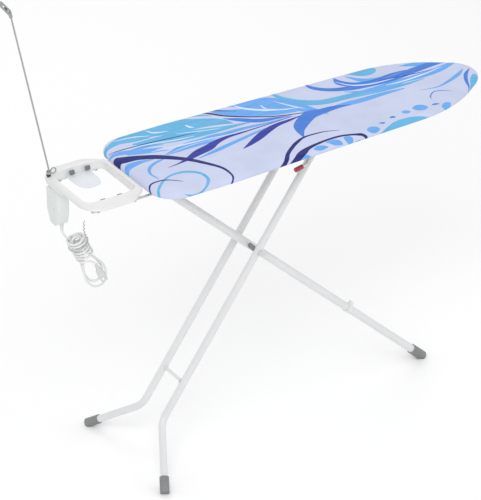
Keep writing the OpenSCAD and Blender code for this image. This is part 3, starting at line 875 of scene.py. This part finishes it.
@dataclass
class Studio:
    """Camera, floor and soft light."""

    azimuth: float = -32.5
    elevation: float = 30.15
    distance: float = 10.32
    lens: float = 254.1
    aim: Vector = field(default_factory=lambda: Vector((0.377 + SHIFT, 0.0, 0.589)))

    def camera(self) -> None:
        """Stands the camera on its sight line, looking at the aim point."""
        a, e = math.radians(self.azimuth), math.radians(self.elevation)
        back = Vector((math.sin(a) * math.cos(e), -math.cos(a) * math.cos(e),
                       math.sin(e)))
        cam = bpy.data.cameras.new("studio_camera")
        cam.lens = self.lens
        cam.sensor_width = 36.0
        cam.sensor_fit = "AUTO"
        cam.clip_end = 60.0
        obj = bpy.data.objects.new("studio_camera", cam)
        obj.location = self.aim + back * self.distance
        obj.rotation_euler = (-back).to_track_quat("-Z", "Y").to_euler()
        bpy.context.scene.collection.objects.link(obj)
        bpy.context.scene.camera = obj

    def floor(self) -> None:
        """Lays the pale floor, a flat grid a little below the feet."""
        x = np.linspace(-16, 16, 9)
        gx, gy = np.meshgrid(x, x, indexing="ij")
        pts = np.stack([gx, gy, gx * 0 - 0.0002], -1).reshape(-1, 3)
        obj = mesh_piece("studio_floor", pts, grid_quads(9, 9, False, False), PAPER)
        if obj.data.polygons[0].normal.z < 0:
            obj.data.flip_normals()

    def lights(self) -> None:
        """Hangs a wide soft key, a fill and a back light, and sets the pale world."""
        world = bpy.data.worlds.new("studio_world")
        world.use_nodes = True
        shade = world.node_tree.nodes["Background"]
        shade.inputs[0].default_value = (1.0, 1.0, 1.0, 1.0)
        shade.inputs[1].default_value = 0.78
        bpy.context.scene.world = world
        for name, place, size, power in (
                ("key", (-2.6, -3.0, 4.2), 3.0, 95.0),
                ("fill", (3.4, -2.2, 2.6), 3.2, 28.0),
                ("back", (0.6, 3.6, 3.4), 3.0, 30.0)):
            lamp = bpy.data.lights.new(f"{name}_light", "AREA")
            lamp.size = size
            lamp.energy = power
            obj = bpy.data.objects.new(f"{name}_light", lamp)
            obj.location = place
            aim = Vector((0, 0, 0.6)) - Vector(place)
            obj.rotation_euler = aim.to_track_quat("-Z", "Y").to_euler()
            bpy.context.scene.collection.objects.link(obj)
        bpy.context.scene.view_settings.view_transform = "Standard"


# ---------------------------------------------------------------- flex


@dataclass
class Flex:
    """Mains flex: a short lead from the gland, then a hank with its plug tucked in."""

    diameter: float = 0.007
    gland: tuple[float, float, float] = (-188.0, 54.0, 817.7)
    head: tuple[float, float, float] = (-157.5, 38.0, 781.0)
    lean: float = 24.83
    turns: float = 6.1667
    coil_radius: float = 25.0
    core_radius: float = 9.5
    first_wrap: float = 6.0
    climb: float = 28.0
    pitch: float = 12.2
    per_turn: int = 22
    drop_radius: float = 22.0
    pin_apart: float = 0.0075

    def local(self, x: np.ndarray, y: np.ndarray, s: np.ndarray) -> np.ndarray:
        """Turns hank places into board millimetres.

        Args:
            x: across the hank, toward the nose.
            y: through the hank, toward the far side.
            s: down the hank from its head.
        Returns:
            places in millimetres from the board's wide end.
        """
        a = math.radians(self.lean)
        hx, hy, hz = self.head
        return np.stack([hx + x * math.cos(a) + s * math.sin(a), hy + y,
                         hz + x * math.sin(a) - s * math.cos(a)], -1)

    def route(self) -> np.ndarray:
        """Works out the whole centreline, from the gland to the plug.

        The lead drops straight out of the gland and swings to the hank's head. It
        runs down inside the wraps, round the foot loop, back up inside, and then
        winds down over itself as a helix before its end drops into the loop. The
        rise inside the wraps is a spiral whose radius grows by sin^2 of its share.

        Returns:
            points in millimetres from the board's wide end.
        """
        g = np.array(self.gland)
        lead = np.array([g, g + [0, 0, -8], g + [0.5, 0, -16], g + [3, -1, -26],
                         g + [9, -3, -36], g + [18, -5, -45], g + [30, -6, -53.5]])
        first = np.array([[3, 8, 31], [8, 8, 52], [12, 8, 80], [22, 5, 110],
                          [27, 4, 138], [23, 4, 164], [9, 4, 181], [-9, 4, 181],
                          [-23, 5, 164], [-27, 6, 138], [-21, 8, 108],
                          [-14, 8, 80], [-14, 7, 52], [-17, 5, 30], [-12.5, 2, 11],
                          [0, 0, 4], [12.5, -2, 11], [17, -4, 30]], float)
        second = np.array([[14, -5, 52], [14, -4, 80], [24, -4, 112],
                           [33, -4, 144], [29, -4, 172], [16, -4, 194], [-2, -4, 200],
                           [-19, -4, 192], [-31, -4, 170], [-32, -3, 142],
                           [-23, -4, 110], [-12, -7, 80], [-6, -9, 56]], float)
        down = np.vstack([first, second])
        a = np.linspace(0, 1, 15)
        turn = np.radians(-100 + 280 * a)
        out = (self.core_radius
               + (self.coil_radius - self.core_radius) * np.sin(a * np.pi / 2) ** 2)
        rise = np.stack([out * np.cos(turn), out * np.sin(turn), self.first_wrap
                         + self.climb * (1 - np.sin(a * np.pi / 2))], -1)
        th = np.linspace(np.pi, np.pi + self.turns * 2 * np.pi,
                         int(self.turns * self.per_turn) + 1)
        k = (th - np.pi) / (2 * np.pi)
        r = self.coil_radius * (1 - 0.012 * np.sin(3.1 * (th - np.pi)))
        helix = np.stack([r * np.cos(th), r * np.sin(th), self.first_wrap
                          + self.pitch * k + 0.8 * np.sin(2.3 * (th - np.pi))], -1)
        b = np.radians([18, 36, 54, 72, 90])
        bend = np.stack([0.87 * np.sin(b), -0.5 * np.sin(b), 1 - np.cos(b)], -1)
        drop = helix[-1] + self.drop_radius * bend
        tail = np.vstack([drop, drop[-1] + [[0, 0, 9], [0, 0, 18]]])
        hank = np.vstack([down, rise[:-1], helix, tail])
        pts = np.vstack([lead, self.local(*hank.T)])
        return smooth_path(pts, 6)

    def build(self) -> None:
        path = in_frame(self.route())
        seg = np.linalg.norm(np.diff(path, axis=0), axis=1)
        s = np.concatenate([[0], np.cumsum(seg)])
        even = np.linspace(0, s[-1], int(s[-1] / 0.004))
        path = np.stack([np.interp(even, s, path[:, i]) for i in range(3)], -1)
        cu = bpy.data.curves.new("flex", "CURVE")
        cu.dimensions = "3D"
        cu.bevel_depth = self.diameter / 2
        cu.bevel_resolution = 4
        cu.use_fill_caps = True
        sp = cu.splines.new("POLY")
        sp.points.add(len(path) - 1)
        sp.points.foreach_set("co", np.hstack([path, np.ones((len(path), 1))]).ravel())
        sp.use_smooth = True
        cu.materials.append(SHEATH.material)
        obj = bpy.data.objects.new("flex", cu)
        bpy.context.scene.collection.objects.link(obj)
        stand_in(obj, "white_flex", "cord", "hank")
        plug = self.plug(path)
        pins = self.pins(path)
        tie = self.tie()
        self.relief()
        LOG.info("flex is %.2f m long", s[-1])

    def plug(self, path: np.ndarray) -> bpy.types.Object:
        """Makes the flat two-pin plug, a superellipse carried from neck to nose.

        Args:
            path: the flex's points in metres.
        Returns:
            the moulding.
        """
        d = path[-1] - path[-4]
        d /= np.linalg.norm(d)
        t = np.array([-0.022, -0.020, -0.016, -0.012, -0.007, -0.003, 0.001, 0.007,
                      0.015, 0.024, 0.0305, 0.0325, 0.0328])
        half = np.array([[3.6, 3.6], [4.3, 4.3], [4.6, 4.6], [5.0, 5.0], [5.5, 5.4],
                         [6.2, 5.8], [7.6, 6.4], [9.6, 7.0], [11.0, 7.3], [11.4, 7.3],
                         [11.2, 7.0], [10.2, 6.2], [3.0, 2.0]]) * MM
        line = path[-1] + np.outer(t, d)
        obj = swept("plug_moulding", line, half, PLUG_PLASTIC, 40, 3.0)
        return stand_in(obj, "white_plastic", "plug_body")

    def pins(self, path: np.ndarray) -> bpy.types.Object:
        """Makes the two round pins with their waisted insulating sleeves.

        Args:
            path: the flex's points in metres.
        Returns:
            both pins as one piece.
        """
        d = path[-1] - path[-4]
        d /= np.linalg.norm(d)
        side = tube_frames(path[-6:])[0][-1]
        t = np.array([0.030, 0.031, 0.040, 0.0405, 0.048, 0.0502, 0.051])
        r = np.array([1.9, 1.9, 1.9, 2.35, 2.35, 1.9, 0.4]) * MM
        objs = []
        for k in (-1, 1):
            line = path[-1] + np.outer(t, d) + side * self.pin_apart * k
            objs.append(swept(f"plug_pin_{k + 1}", line, np.stack([r, r], -1), ZINC_UP,
                              20))
        return stand_in(merge("plug_pin_pair", objs), "zinc_steel", "plug_pins")

    def tie(self) -> bpy.types.Object:
        """Makes the wire tie: a loop round the wraps with a twisted tail."""
        a = np.linspace(0, 2 * np.pi, 61)
        r = self.coil_radius + 5.6
        loop = in_frame(self.local(r * np.cos(a), r * np.sin(a), 30 + 3 * np.sin(a)))
        band = swept("tie_band", loop[:-1], np.full((60, 2), 0.0014), TIE_PLASTIC, 10)
        w = np.linspace(0, 1, 60)
        lean = 30 * np.clip(w - 0.35, 0, 1) ** 1.4
        tail = self.local(r * np.cos(0.2) + lean + 1.5 * np.sin(w * 34),
                          -6 + 1.5 * np.cos(w * 34), 30 - 58 * w)
        end = swept("tie_tail", in_frame(tail), np.full((60, 2), 0.0015), TIE_PLASTIC, 10)
        return stand_in(merge("flex_tie", [band, end]), "white_plastic", "tie")

    def relief(self) -> bpy.types.Object:
        """Makes the gland: a tapered, ringed sleeve below the socket box."""
        g = in_frame(np.array(self.gland))
        t = np.linspace(0, 1, 45)
        z = g[2] - 0.012 + t * 0.027
        r = (4.1 + 2.6 * t + 0.45 * np.sin(t * 2 * np.pi * 7) * (t < 0.86)) * MM
        line = np.stack([t * 0 + g[0], t * 0 + g[1], z], -1)
        obj = swept("flex_gland", line, np.stack([r, r], -1), SOCKET_PLASTIC, 28)
        return stand_in(obj, "white_plastic", "gland")


def merge(name: str, objs: list[bpy.types.Object]) -> bpy.types.Object:
    """Joins meshes into one object, whose parts share the first one's finish.

    Args:
        name: the new piece's name.
        objs: the parts, which are used up.
    Returns:
        the new piece.
    """
    bm = bmesh.new()
    for o in objs:
        bm.from_mesh(o.data)
    me = objs[0].data.copy()
    bm.to_mesh(me)
    bm.free()
    me.name = name
    obj = bpy.data.objects.new(name, me)
    bpy.context.scene.collection.objects.link(obj)
    for o in objs:
        bpy.data.objects.remove(o)
    return obj


# ---------------------------------------------------------------- board


@dataclass
class Board:
    """The padded top: cover, felt, steel sheet, rim, bars and rails."""

    around: int = 780
    across: int = 84
    edge: float = 16.0
    roll: float = 13.0
    corner_r: float = 80.0
    nose_r: float = 78.0
    side_r: float = 110.0
    shoulder_r: float = 420.0
    spine_ends: tuple[float, float] = (150.0, 1010.0)
    cloth: float = 1.6
    sink: float = 0.3

    def outline(self) -> np.ndarray:
        """Works out the board's plan as an evenly spaced loop, in millimetres.

        The plan is the tight loop round the corner arcs, the side arcs, the long
        shoulder arcs and the nose arc: for each direction the furthest point is
        kept, and the loop is then spaced evenly along its length.

        Returns:
            the loop's points, one row each.
        """
        length, width = BOARD_L / MM, BOARD_W / MM
        a = np.linspace(0, 2 * np.pi, 721)[:-1]
        c, s = np.cos(a), np.sin(a)
        sh = self.shoulder_r
        parts = [np.stack([length - self.nose_r + self.nose_r * c, self.nose_r * s], -1)]
        for k in (-1, 1):
            parts.append(np.stack([self.corner_r + self.corner_r * c,
                                   k * (width / 2 - self.corner_r)
                                   + self.corner_r * s], -1))
            parts.append(np.stack([length * 0.19 + self.side_r * c,
                                   k * (width / 2 - self.side_r)
                                   + self.side_r * s], -1))
            arc = np.stack([length * 0.735 + sh * c,
                            -k * (sh - width * 0.437) + sh * s], -1)
            keep = ((arc[:, 0] > length * 0.6) & (arc[:, 0] < length * 0.93)
                    & (arc[:, 1] * k > 0))
            parts.append(arc[keep])
        pts = np.vstack(parts)
        far = np.linspace(-np.pi, np.pi, 3601)[:-1]
        pick = (pts @ np.stack([np.cos(far), np.sin(far)])).argmax(0)
        hull = pts[pick[np.r_[True, np.diff(pick) != 0]]]
        side = hull[hull[:, 1] > 0.01]
        side = side[np.argsort(-np.arctan2(side[:, 1], side[:, 0] - length / 2))]
        half = np.vstack([[[0, 0]], side, [[length, 0]]])
        run = np.linalg.norm(np.diff(half, axis=0), axis=1)
        step = np.concatenate([[0], np.cumsum(run)])
        even = np.linspace(0, step[-1], self.around // 2 + 1)
        half = np.stack([np.interp(even, step, half[:, i]) for i in (0, 1)], -1)
        loop = np.vstack([half, half[-2:0:-1] * [1, -1]])[::-1]
        for _ in range(3):
            loop = (np.roll(loop, 1, 0) + 2 * loop + np.roll(loop, -1, 0)) / 4
        return loop

    def plan(self) -> tuple[np.ndarray, np.ndarray, np.ndarray]:
        """Works out the outline, its outward normals and its places on the spine.

        The spine is the middle line between its two ends; a point's place on it is
        the point's own X, kept between those ends.

        Returns:
            outline, normals and spine places, one row a point.
        """
        q = self.outline()
        tan = np.roll(q, -1, 0) - np.roll(q, 1, 0)
        tan /= np.linalg.norm(tan, axis=1, keepdims=True)
        nrm = np.stack([tan[:, 1], -tan[:, 0]], -1)
        return q, nrm, np.stack([np.clip(q[:, 0], *self.spine_ends), q[:, 0] * 0], -1)

    def cover(self) -> bpy.types.Object:
        """Makes the printed cover as one closed cloth.

        Rings run from the middle line out to the edge, round it, down the skirt,
        under as a gathered hem, and back on the inside a cloth's thickness away.
        Small puckers, sines along the edge that fade inwards, come from the elastic.

        Returns:
            the cover.
        """
        q, nrm, spine = self.plan()
        s = np.arange(self.around) / self.around * 2 * np.pi
        pucker = (np.sin(s * 96) + 0.6 * np.sin(s * 143 + 1.3) + 0.5 * np.sin(s * 61 + 4)
                  + 0.4 * np.sin(s * 211 + 2))
        slow = np.sin(s * 9 + 0.7) + 0.6 * np.sin(s * 17 + 2.1)
        e, thick, sink = self.edge, self.cloth, self.sink
        top, hem = TOP / MM, HEM / MM
        rings, inset = [], q - nrm * e

        def ring(base: np.ndarray, off: object, z: object) -> None:
            """Adds a ring: base moved out by off, at height z."""
            xy = base + nrm * np.broadcast_to(off, len(q))[:, None]
            rings.append(np.column_stack([xy, np.broadcast_to(z, len(q))]))

        for r in np.linspace(0, 1, self.across):
            base = spine + (inset - spine) * r
            fade = max(0.0, (r - 0.86) / 0.14) ** 2
            ring(base, 0.0, top + 0.25 * slow * r * (1 - r) + 0.16 * pucker * fade - sink)
        drop = self.roll
        for a in np.linspace(0, np.pi / 2, 13)[1:]:
            ring(inset, e * math.sin(a), top - sink - drop * (1 - math.cos(a))
                 + 0.1 * pucker * math.cos(a))
        for k in np.linspace(0, 1, 4)[1:]:
            z = top - drop - sink - k * (top - drop - sink - hem - thick)
            ring(q, -0.3 * k + 0.12 * pucker * k, z + 0.06 * slow)
        for a in np.linspace(0, np.pi, 6)[1:]:
            ring(q, -thick + 1.3 * math.cos(a) + 0.12 * pucker,
                 hem + thick - thick * math.sin(a) + 0.08 * pucker * math.sin(a))
        for k in np.linspace(0, 1, 8)[1:]:
            ring(q, -3 - 22 * k + 0.6 * pucker * k,
                 hem + 1.2 + (0.1 + 0.5 * k) * 0.5 * pucker)
        ring(q, -26.2 + 0.6 * pucker, hem + 1.5 + 0.3 * pucker)
        for k in np.linspace(1, 0, 4):
            ring(q, -3.6 - 21 * k + 0.6 * pucker * k,
                 hem + 1.9 + (0.1 + 0.5 * k) * 0.4 * pucker)
        ring(q, -1.9, hem + 4)
        for a in np.linspace(np.pi / 2, 0, 5):
            ring(inset, (e - thick) * math.sin(a), top - 1.7 - (drop - 1.5)
                 * (1 - math.cos(a)))
        for r in (0.85, 0.5, 0.0):
            ring(spine + (inset - spine) * r, 0.0, top - 1.7)
        rings = np.array(rings)
        obj = mesh_piece("printed_cover", in_frame(rings).reshape(-1, 3),
                         grid_quads(len(rings), self.around, False, True), COTTON)
        self.lay_ink(obj, rings, nrm)
        return stand_in(outward(obj), "printed_cotton", "cover")

    @staticmethod
    def lay_ink(obj: bpy.types.Object, rings: np.ndarray, nrm: np.ndarray) -> None:
        """Stores each ink's edge distance on the cover's points.

        Below the edge the print carries on as if the cloth were laid flat: a point's
        place in the print is moved out by how far it hangs down.

        Args:
            obj: the cover, its points in the rings' order.
            rings: the cover's points in millimetres, ring by ring.
            nrm: the outline's outward normals.
        """
        drop = np.clip((TOP / MM - 3.0 - rings[..., 2]) * 0.7, 0, 40)
        flat = (rings[..., :2] + nrm[None] * drop[..., None]).reshape(-1, 2)
        for ink in Ink:
            dist = np.full(len(flat), FAR)
            for stations in PRINT[ink]:
                dist = np.minimum(dist, Stroke(stations).edge_distance(flat))
            layer = obj.data.attributes.new(ink.field, "FLOAT", "POINT")
            layer.data.foreach_set("value", dist.astype(np.float32))

    def felt(self) -> bpy.types.Object:
        """Makes the felt pad: a soft slab, thin at its edge, with a nubbly surface."""
        q, nrm, spine = self.plan()
        low, rings = TOP / MM - 7.5, []
        s = np.arange(self.around) / self.around * 2 * np.pi
        nub = np.sin(s * 73) * np.sin(s * 31 + 1)
        for r in np.linspace(0, 1, 12):
            rings.append(np.column_stack([spine + (q - nrm * 14 - spine) * r,
                                          low + 5.6 + 0.1 * nub * r * (1 - r)]))
        for inset, up in ((11, 5.2), (8.5, 4.2), (6.5, 2.8), (5.2, 1.4), (4.8, 0.2)):
            rings.append(np.column_stack([q - nrm * inset,
                                          low + up + 0.12 * nub * (up > 1)]))
        for r in (0.97, 0.6, 0.0):
            rings.append(np.column_stack([spine + (q - nrm * 6 - spine) * r,
                                          np.full(len(q), low + 0.1)]))
        quads = grid_quads(len(rings), self.around, False, True)
        obj = mesh_piece("felt_pad", in_frame(np.array(rings)).reshape(-1, 3), quads, FELT)
        stand_in(outward(obj), "felt", "felt")
        return obj

    def build(self) -> None:
        """Makes the cover and the felt, and dresses the steel under them."""
        pad = self.felt()
        cover = self.cover()
        dress(SHEET_STEEL, "sheet_top", "rim", "cross_bars", "height_rails",
              "leg_bracket", "lever_clips")
        dress(ZINC, "leg_axle", "lever_wire", "lever_spring")
        softened("lever_grip", GRIP_RED, 0.0022)


# ---------------------------------------------------------------- legs


@dataclass
class Legs:
    """The single front leg, the twin rear tubes and their fittings."""

    cap_edge: float = 0.0025
    hook_edge: float = 0.0012
    bolt_edge: float = 0.0008
    small_edge: float = 0.0006

    def build(self) -> None:
        """Dresses the tubes and rounds the caps and fittings."""
        dress(WHITE_PAINT, "single_leg", "twin_far", "twin_near", "lower_strut")
        dress(ZINC, "top_bar")
        softened("single_foot", CAP_PLASTIC, self.cap_edge)
        softened("rear_feet", CAP_PLASTIC, self.cap_edge)
        softened("storage_hook", WHITE_PLASTIC, self.hook_edge)
        softened("scissor_bolt", ZINC, self.bolt_edge)
        softened("scissor_nuts", ZINC, self.small_edge)
        # painted shade: the spacers take the dark grey cap plastic, which stands for the
        # shadow in the gap between the single leg and the twin tubes
        softened("spacers", CAP_PLASTIC, self.small_edge)


# ---------------------------------------------------------------- iron rest


@dataclass
class IronRest:
    """The white moulded rest at the wide end, with its shelf, pads and rods."""

    length: float = 204.0
    width: float = 290.0
    well_l: float = 162.0
    well_w: float = 196.0
    low: float = 939.7
    high: float = 964.7
    centre: float = -110.0
    wall: float = 13.0
    box_at: float = 2.75
    box_span: float = 0.42
    tongue_at: float = -109.0
    tongue_half: float = 38.0
    tongue_reach: float = 96.0

    @staticmethod
    def plan(circles: list[tuple[float, float, float]], angles: np.ndarray
             ) -> np.ndarray:
        """Returns where rays from the middle meet the tight loop round circles.

        Along a direction the loop's support is the most that any circle reaches, and
        the ray at angle t ends at the least of support(d) / cos(d - t) over all d.

        Args:
            circles: X, Y on the far side and radius of each; both sides have them.
            angles: directions of the rays.
        Returns:
            one point for each ray.
        """
        d = np.linspace(-np.pi, np.pi, 1441)
        c = np.array([(x, k * y, r) for x, y, r in circles for k in (-1, 1)])
        reach = (np.outer(c[:, 0], np.cos(d)) + np.outer(c[:, 1], np.sin(d))
                 + c[:, 2:]).max(0)
        gap = np.cos(d[None] - angles[:, None])
        rho = np.where(gap > 0.05, reach[None] / np.maximum(gap, 0.05), 1e9).min(1)
        return np.stack([rho * np.cos(angles), rho * np.sin(angles)], -1)

    def shell(self) -> bpy.types.Object:
        """Makes the moulded ring.

        A section, given as a share of the way from the outer plan to the well's and
        a height, is carried round both plans; it rises up the outer wall, rolls over
        the rim, slopes into the well and comes back up inside the hollow. The outer
        wall is lower over the socket box, by exp(-(angle from it / span)^4).

        Returns:
            the ring.
        """
        th = np.linspace(-np.pi, np.pi, 241)[:-1]
        hl, hw = self.length / 2, self.width / 2
        outer = self.plan([(62 - hl, hw - 62, 62), (hl - 30, hw - 60, 30),
                           (hl - 70, hw - 40, 40)], th)
        inner = self.plan([(sx * (self.well_l / 2 - 20), self.well_w / 2 - 20, 20)
                           for sx in (-1, 1)], th)
        lo, hi = self.low, self.high
        over_box = np.exp(-((np.abs(th - self.box_at) / self.box_span) ** 4))
        skirt = hi - self.wall - (hi - lo - self.wall) * over_box
        section = [(0.02, skirt), (0.0, skirt + 0.6), (0.0, skirt + 3), (0.01, hi - 9),
                   (0.05, hi - 6.8), (0.14, hi - 4.8), (0.28, hi - 3.0),
                   (0.46, hi - 1.5), (0.62, hi - 0.5), (0.76, hi - 0.1),
                   (0.84, hi), (0.868, hi - 0.15), (0.88, hi - 0.8),
                   (0.886, hi - 2.4), (0.96, lo + 8), (1.0, lo + 0.8), (0.99, lo),
                   (0.95, lo), (0.93, lo + 0.8), (0.83, hi - 6), (0.76, hi - 3.2),
                   (0.46, hi - 4.2), (0.25, hi - 6.2), (0.14, hi - 8.2),
                   (0.09, hi - 9.5), (0.08, skirt + 0.8), (0.07, skirt)]
        rings = []
        for share, z in section:
            xy = outer + (inner - outer) * share
            rings.append(np.column_stack([xy[:, 0] + self.centre, xy[:, 1],
                                          np.broadcast_to(z, len(xy))]))
        obj = loft("iron_rest_shell", in_frame(np.array(rings)), WHITE_PLASTIC,
                   closed_section=True)
        sub = obj.modifiers.new("rounding", "SUBSURF")
        sub.levels = sub.render_levels = 1
        return stand_in(obj, "white_plastic", "rest_frame")

    def pads(self) -> bpy.types.Object:
        """Makes the four rubber pads, leant along the well's sloping walls.

        Each is a superellipsoid slab, 16 by 13 by 3 mm, with a ribbed face.
        """
        u = np.linspace(-np.pi / 2, np.pi / 2, 15)[:, None]
        v = np.linspace(0, 2 * np.pi, 48, endpoint=False)[None]

        def p(t: np.ndarray, k: float) -> np.ndarray:
            """Raises |t| to k and keeps its sign."""
            return np.sign(t) * np.abs(t) ** k

        x = 8.0 * p(np.cos(u), 0.35) * p(np.cos(v), 0.3)
        y = 6.5 * p(np.cos(u), 0.35) * p(np.sin(v), 0.3)
        z = 1.7 * p(np.sin(u), 0.6) + 0 * v
        z = z + 0.25 * np.cos(y * 2.6) * (z > 1)
        made = []
        up, out = math.sin(math.radians(68)), math.cos(math.radians(68))
        for side, along in ((-1, -138.0), (-1, -84.0), (1, -128.0), (1, -77.0)):
            ring = np.stack([x + along,
                             side * (self.well_w / 2 - 5.0 - z * up + y * out),
                             self.low + 15.0 + y * up + z * out], -1)
            made.append(loft("pad", in_frame(ring), PAD_RUBBER))
        return stand_in(merge("rest_pad_set", made), "dark_rubber", "rest_pads")

    def shelf(self) -> bpy.types.Object:
        """Makes the tongue under the well: a thin plate with a rounded free end.

        Its plan is a superellipse half, its sections are drawn in at both faces.
        """
        a = np.linspace(0, np.pi, 49)
        root, neck = self.well_w / 2, 34.0
        c, s = np.cos(a), np.sin(a)
        edge = np.stack([self.tongue_at + self.tongue_half * np.sign(c) * np.abs(c) ** 0.72,
                         root - neck - (self.tongue_reach - neck) * s ** 0.72], -1)
        plan = np.vstack([[[edge[0, 0], root]], edge, [[edge[-1, 0], root]]])
        mid = plan.mean(0)
        rings = []
        for scale, z in ((0.0, 4.4), (0.93, 4.4), (0.985, 4.6), (1.0, 5.4), (0.985, 6.4),
                         (0.93, 6.6), (0.84, 6.2), (0.0, 6.0)):
            xy = mid + (plan - mid) * scale
            rings.append(np.column_stack([xy, np.full(len(xy), self.low + z)]))
        # the shelf wears the bluish, painted-light copy of the white plastic
        obj = loft("rest_tongue", in_frame(np.array(rings)), SHELF_LIT_TINT_PLASTIC)
        return stand_in(obj, "white_plastic", "rest_shelf")

    def build(self) -> None:
        """Makes the ring, the tongue and the pads, and dresses the rods."""
        self.shell()
        self.shelf()
        self.pads()
        dress(ZINC, "rest_rods")
        dress(WHITE_PLASTIC, "rest_screws")
        softened("rod_saddles", WHITE_PLASTIC, 0.001)


@dataclass
class Socket:
    """The mains socket box under the rest's outer end."""

    edge: float = 0.0025
    face_edge: float = 0.0007
    corner: float = 50.0

    def build(self) -> None:
        """Rounds the box and face and dresses the metal parts."""
        softened("socket_box", SOCKET_PLASTIC, self.edge, self.corner)
        softened("socket_face", SOCKET_PLASTIC, self.face_edge, self.corner)
        dress(BRASS, "socket_contacts")
        dress(ZINC, "socket_screws")


@dataclass
class FlexHolder:
    """The sprung rod that carries the iron's flex, with its ring and clip."""

    ferrule_edge: float = 0.0008
    ring_edge: float = 0.0006
    clip_edge: float = 0.0007

    def build(self) -> None:
        """Dresses the rod and rounds its fittings."""
        dress(ROD_COAT, "flex_rod")
        softened("rod_ferrule", DARK_RUBBER, self.ferrule_edge)
        softened("flex_ring", CLIP_PLASTIC, self.ring_edge)
        softened("clip_body", CLIP_PLASTIC, self.clip_edge)
        softened("clip_jaw", CLIP_PLASTIC, self.clip_edge)
        dress(ZINC, "clip_pin")


def main() -> None:
    """Builds the studio, the flex and every sub-assembly, in that order."""
    studio = Studio()
    studio.camera()
    Flex().build()
    Board().build()
    Legs().build()
    IronRest().build()
    Socket().build()
    FlexHolder().build()
    studio.floor()
    studio.lights()
    bpy.context.view_layer.update()


if __name__ == "__main__":
    logging.basicConfig(level=logging.INFO)
    main()
